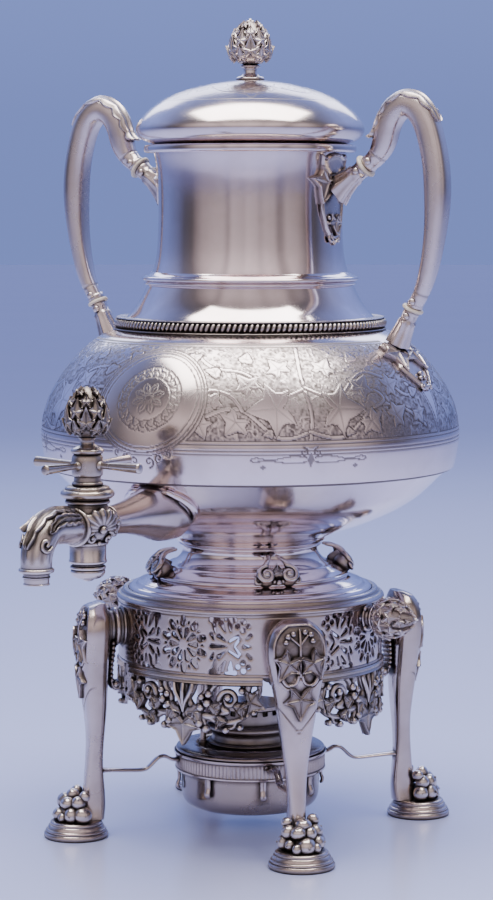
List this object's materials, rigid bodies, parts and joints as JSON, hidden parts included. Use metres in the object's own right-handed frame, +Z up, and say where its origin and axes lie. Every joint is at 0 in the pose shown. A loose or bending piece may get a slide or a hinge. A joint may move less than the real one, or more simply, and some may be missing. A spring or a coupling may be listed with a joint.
{
  "type": "hot drink urn on lamp stand",
  "caption": "Silver coffee urn with loop handles, lift-off domed lid and turning tap, resting on a footed openwork stand that holds a spirit lamp.",
  "frame": {"origin": "on the urn's vertical axis at the level on which the feet stand", "axes": "+Z up along the urn axis, -Y towards the tap, +X and -X towards the two handles"},
  "size_m": [0.2308, 0.3236, 0.4295],
  "materials": {
    "silver": "polished silver plate, warm grey",
    "oxidised_silver": "cast silver with dark oxidised recesses",
    "ivory": "satin bone-coloured heat insulator",
    "dark_metal": "heat-darkened burner metal",
    "cotton": "woven cotton wick"
  },
  "bodies": {
    "stand": {"apron_front": "oxidised_silver", "apron_left": "oxidised_silver", "apron_rear": "oxidised_silver", "apron_right": "oxidised_silver", "foot_berries": "oxidised_silver", "foot_front_left": "silver", "foot_front_right": "silver", "foot_rear_left": "silver", "foot_rear_right": "silver", "gallery_band": "silver", "lamp_ring": "silver", "lamp_ring_arms": "silver", "leg_brackets": "oxidised_silver", "leg_front_left": "silver", "leg_front_right": "silver", "leg_rear_left": "silver", "leg_rear_right": "silver", "pin_bosses": "oxidised_silver", "stand_top_rim": "silver"},
    "urn": {"neck_shell": "silver", "body_upper": "silver", "body_lower": "silver", "rim_wire": "silver", "neck_ring": "silver", "beaded_band": "silver", "pedestal": "silver", "foot_flange": "silver", "pedestal_scrolls": "oxidised_silver", "handle_left": "silver", "handle_right": "silver", "handle_insulators": "ivory", "handle_pins": "silver", "upper_socket_left": "silver", "upper_socket_right": "silver", "lower_socket_left": "silver", "lower_socket_right": "silver", "spigot_plate": "oxidised_silver", "spigot_tube": "oxidised_silver", "valve_body": "oxidised_silver", "valve_bonnet": "oxidised_silver", "valve_cap": "oxidised_silver", "spout": "oxidised_silver", "spout_nozzle": "oxidised_silver"},
    "lid": {"lid_shell": "silver", "lid_bezel": "silver", "lid_finial_base": "silver", "lid_finial": "oxidised_silver"},
    "tap_key": {"tap_plug": "oxidised_silver", "tap_hub": "oxidised_silver", "tap_finial": "oxidised_silver"},
    "lamp": {"lamp_bowl": "silver", "lamp_shoulder": "silver", "lamp_collar": "dark_metal", "burner_crown": "dark_metal", "wick_tube": "dark_metal", "wick": "cotton", "snuffer_post": "silver"},
    "snuffer": {"snuffer": "dark_metal"},
    "pin_right": {"retaining_pin_right": "oxidised_silver"},
    "pin_left": {"retaining_pin_left": "oxidised_silver"}
  },
  "joints": [
    {"name": "urn_lift", "type": "slide", "parent": "stand", "child": "urn", "axis": [0, 0, 1], "range_m": [0, 0.05]},
    {"name": "lid_lift", "type": "slide", "parent": "urn", "child": "lid", "axis": [0, 0, 1], "range_m": [0, 0.06]},
    {"name": "tap_turn", "type": "hinge", "parent": "urn", "child": "tap_key", "pos_m": [0, -0.16, 0.18], "axis": [0, 0, 1], "continuous": true},
    {"name": "lamp_lift", "type": "slide", "parent": "stand", "child": "lamp", "axis": [0, 0, 1], "range_m": [0, 0.045]},
    {"name": "snuffer_swing", "type": "hinge", "parent": "lamp", "child": "snuffer", "pos_m": [-0.0198, -0.01623, 0.0583], "axis": [0, 0, 1], "range_deg": [0, 115]},
    {"name": "pin_right_slide", "type": "slide", "parent": "stand", "child": "pin_right", "axis": [1, 0, 0], "range_m": [0, 0.013]},
    {"name": "pin_left_slide", "type": "slide", "parent": "stand", "child": "pin_left", "axis": [-1, 0, 0], "range_m": [0, 0.013]}
  ]
}
